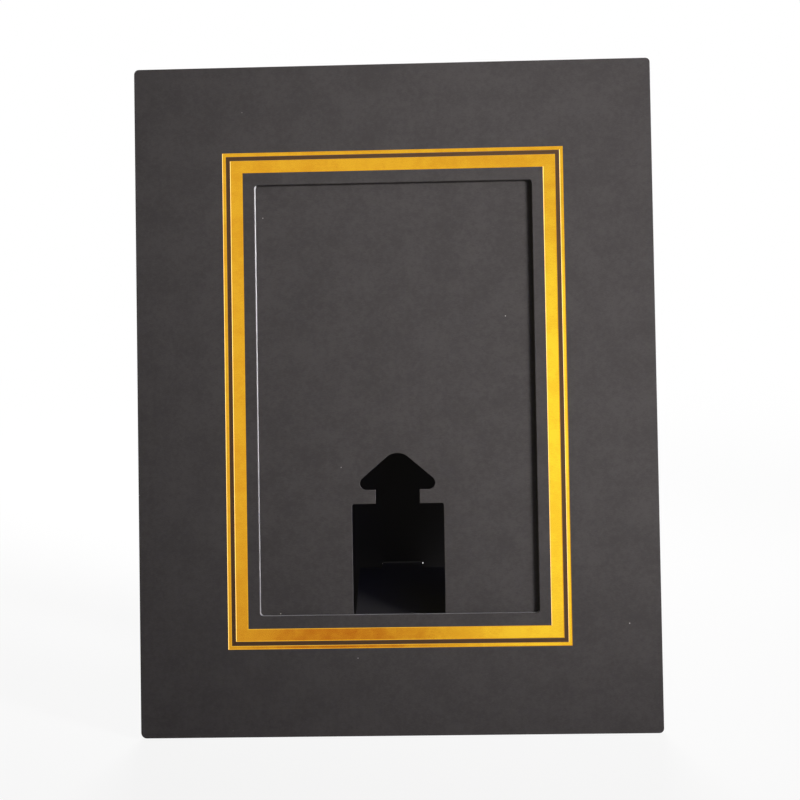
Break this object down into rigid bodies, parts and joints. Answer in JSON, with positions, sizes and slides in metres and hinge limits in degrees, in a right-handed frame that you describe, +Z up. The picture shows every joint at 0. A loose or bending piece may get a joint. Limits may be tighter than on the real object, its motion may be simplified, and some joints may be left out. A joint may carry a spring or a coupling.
{
  "type": "cardboard photo frame",
  "caption": "Portrait cardboard photo frame with a stamped gold double border, an empty window, and a rear easel leg locked open by a die-cut tongue.",
  "frame": {"origin": "on the surface that the frame stands on, under the middle of its bounding box", "axes": "+Z up, -Y towards the viewer of the front face, +X to the right seen from behind the origin along +Y; the cards lean back 15 degrees towards +Y"},
  "size_m": [0.17, 0.0674, 0.213],
  "materials": {
    "black_card": "matt dark warm grey card with a fine grain",
    "gold_foil": "hot-stamped metallic gold foil",
    "tape": "double-sided mounting tape"
  },
  "bodies": {
    "root": {"front_card": "black_card", "gold_band": "gold_foil", "gold_line": "gold_foil", "tape_left": "tape", "tape_right": "tape", "tape_bottom": "tape", "back_card_with_tongue": "black_card", "tape_leg": "tape", "easel_leg": "black_card"}
  },
  "joints": []
}
